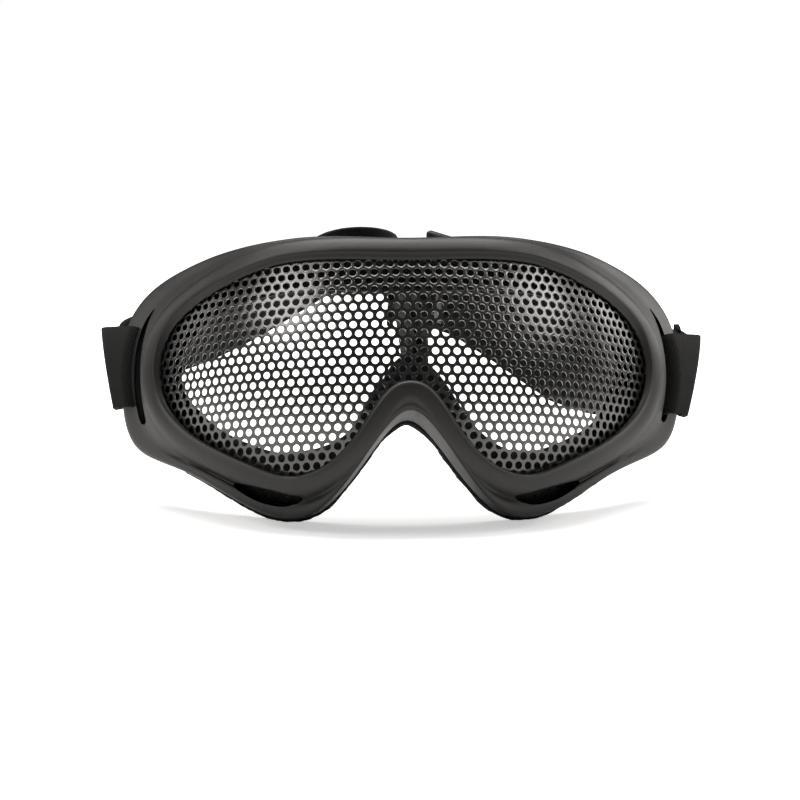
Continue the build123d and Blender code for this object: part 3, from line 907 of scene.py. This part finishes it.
def paintFoam(wire):
    look = foamLook
    at = wire.node("TexCoord", output="Object")
    cells = wire.node("TexVoronoi", {"feature": "SMOOTH_F1"}, {"Vector": at, "Scale": look["scale"]})
    small = wire.node("TexVoronoi", None, {"Vector": at, "Scale": look["scale"] * 2.3})
    cloud = wire.node("TexNoise", None, {"Vector": at, "Scale": 80.0, "Detail": 3.0})
    wall = cells.between(0.18, 0.62) * 0.7 + small.between(0.15, 0.6) * 0.3
    # painted shade: the colour darkens towards the middle of each pore
    return wire.node("BsdfPrincipled", None, {
        "Base Color": wire.mix(wall * (cloud * 0.5 + 0.6), grey(look["hole"]), grey(look["wallTone"], 0.02)),
        "Roughness": 0.95, "Specular IOR Level": 0.2,
        "Normal": wire.node("Bump", None, {"Height": wall, "Distance": 0.0005, "Strength": 0.9}),
    })


webbingLook = dict(dark=0.002, light=0.01, ribs=26.0, picks=40.0)


def paintWebbing(wire):
    look = webbingLook
    uv = wire.node("SeparateXYZ", None, {0: wire.node("TexCoord", output="UV")})
    across, along = uv, Wire(wire.tree, uv.socket.node.outputs[1])
    at = wire.node("TexCoord", output="Object")
    fuzz = wire.node("TexNoise", None, {"Vector": at, "Scale": 1800.0, "Detail": 3.0})
    cloud = wire.node("TexNoise", None, {"Vector": at, "Scale": 60.0, "Detail": 3.0})
    ribs = wire.math("SINE", across * (look["ribs"] * 2 * math.pi))
    picks = wire.math("SINE", along * (look["picks"] * 2 * math.pi) + across * (look["ribs"] * math.pi))
    weave = ribs * picks * 0.5 + 0.5
    level = (weave * 0.65 + fuzz * 0.5).between(0.2, 1.0)
    return wire.node("BsdfPrincipled", None, {
        "Base Color": wire.mix(level * (cloud * 0.6 + 0.55), grey(look["dark"]), grey(look["light"], 0.02)),
        "Roughness": 0.92, "Specular IOR Level": 0.15, "Sheen Weight": 0.03, "Sheen Roughness": 0.5,
        "Normal": wire.node("Bump", None, {"Height": weave + fuzz * 0.5, "Distance": 0.0002,
                                           "Strength": 0.8}),
    })


def paintThread(wire):
    at = wire.node("TexCoord", output="Object")
    twist = wire.node("TexWave", None, {"Vector": at, "Scale": 900.0, "Distortion": 2.0})
    return wire.node("BsdfPrincipled", None, {
        "Base Color": wire.mix(twist, grey(0.012), grey(0.035)), "Roughness": 0.7,
        "Normal": wire.node("Bump", None, {"Height": twist, "Distance": 0.0001, "Strength": 0.6}),
    })


def paintSlider(wire):
    at = wire.node("TexCoord", output="Object")
    cloud = wire.node("TexNoise", None, {"Vector": at, "Scale": 120.0, "Detail": 4.0})
    fine = wire.node("TexNoise", None, {"Vector": at, "Scale": 1400.0, "Detail": 2.0})
    return wire.node("BsdfPrincipled", None, {
        "Base Color": wire.mix(cloud.between(0.35, 0.7), grey(0.025), grey(0.045)),
        "Roughness": cloud.between(0.3, 0.7) * 0.12 + 0.2, "Coat Weight": 0.3, "Coat Roughness": 0.15,
        "Normal": wire.node("Bump", None, {"Height": fine, "Distance": 0.00003, "Strength": 0.5}),
    })


material("framePlastic", paintPlastic, [shell])
material("lensPaint", paintLens, [lens])
material("foamCells", paintFoam, foams)
material("webbing", paintWebbing, bands + loops)
material("thread", paintThread, stitches)
material("sliderPlastic", paintSlider, [slider])
print("materials made")

room = dict(
    # the floor's glow to the camera under the goggles, and how far out it grows to white
    floor=6.0, floorGlow=0.52, floorFade=(0.22, 0.5), floorTone=0.82, skyGlow=0.08, warm=(1.0, 0.975, 0.945),
    # each lamp's place, size and power, and the point it faces
    lamps=dict(
        top=((0.0, 0.12, 1.2), (1.5, 0.8), 27.0, (0, 0, 0)),
        left=((-0.85, -0.35, 0.78), (0.5, 0.45), 5.0, (0, -0.05, 0.04)),
        right=((0.95, -0.2, 0.7), (0.5, 0.45), 4.4, (0, -0.05, 0.04)),
        farRight=((0.85, 0.5, 0.35), (0.4, 0.5), 2.6, (0, -0.05, 0.04)),
        farLeft=((-0.85, 0.45, 0.35), (0.4, 0.5), 1.0, (0, -0.05, 0.04)),
    ),
    camera=(-20.9366, -529.5482, 103.1581), aim=(-3.0531, -84.2865, 40.5302), lens=72.9, sensor=36.0,
    nearest=0.01,
)


def aimAt(thing, at, target):
    thing.location = at
    thing.rotation_euler = (Vector(target) - Vector(at)).to_track_quat("-Z", "Y").to_euler()


bpy.ops.object.select_all(action="DESELECT")
bpy.ops.mesh.primitive_plane_add(size=room["floor"])
floor = startPiece("floor")


def paintFloor(wire):
    # pale, and white to the camera away from the goggles
    ray = wire.node("LightPath", output="Is Camera Ray")
    at = wire.node("TexCoord", output="Object")
    far = wire.node("VectorMath", {"operation": "LENGTH"}, {0: at}, "Value").between(*room["floorFade"])
    glow = ray * (far * (1 - room["floorGlow"]) + room["floorGlow"])
    cloud = wire.node("TexNoise", None, {"Vector": at, "Scale": 3.0})
    return wire.node("BsdfPrincipled", None, {
        "Base Color": wire.mix(cloud, grey(room["floorTone"]), grey(room["floorTone"] * 1.02)),
        "Roughness": 0.9, "Specular IOR Level": 0.1,
        "Emission Color": wire.mix(glow, grey(0.0), grey(1.0)), "Emission Strength": 1.0,
    })


material("paleFloor", paintFloor, [floor])

world = bpy.data.worlds.new("studio")
scene.world = world
world.use_nodes = True
world.node_tree.nodes.clear()
wire = Wire(world.node_tree)
path = wire.node("LightPath", output="Is Camera Ray")
strength = path * (1.0 - room["skyGlow"]) + room["skyGlow"]
wire.node("OutputWorld", None, {
    "Surface": wire.node("Background", None, {"Color": grey(1.0), "Strength": strength})}, None)

for name, (at, size, power, target) in room["lamps"].items():
    lamp = bpy.data.lights.new(name, "AREA")
    lamp.shape = "RECTANGLE"
    lamp.size, lamp.size_y = size
    lamp.energy, lamp.color = power, room["warm"]
    thing = bpy.data.objects.new(name, lamp)
    scene.collection.objects.link(thing)
    aimAt(thing, at, target)

camera = bpy.data.objects.new("camera", bpy.data.cameras.new("camera"))
scene.collection.objects.link(camera)
camera.data.lens = room["lens"]
camera.data.sensor_width = room["sensor"]
camera.data.clip_start = room["nearest"]
aimAt(camera, Vector(room["camera"]) * mm, Vector(room["aim"]) * mm)
scene.camera = camera
print("room set")
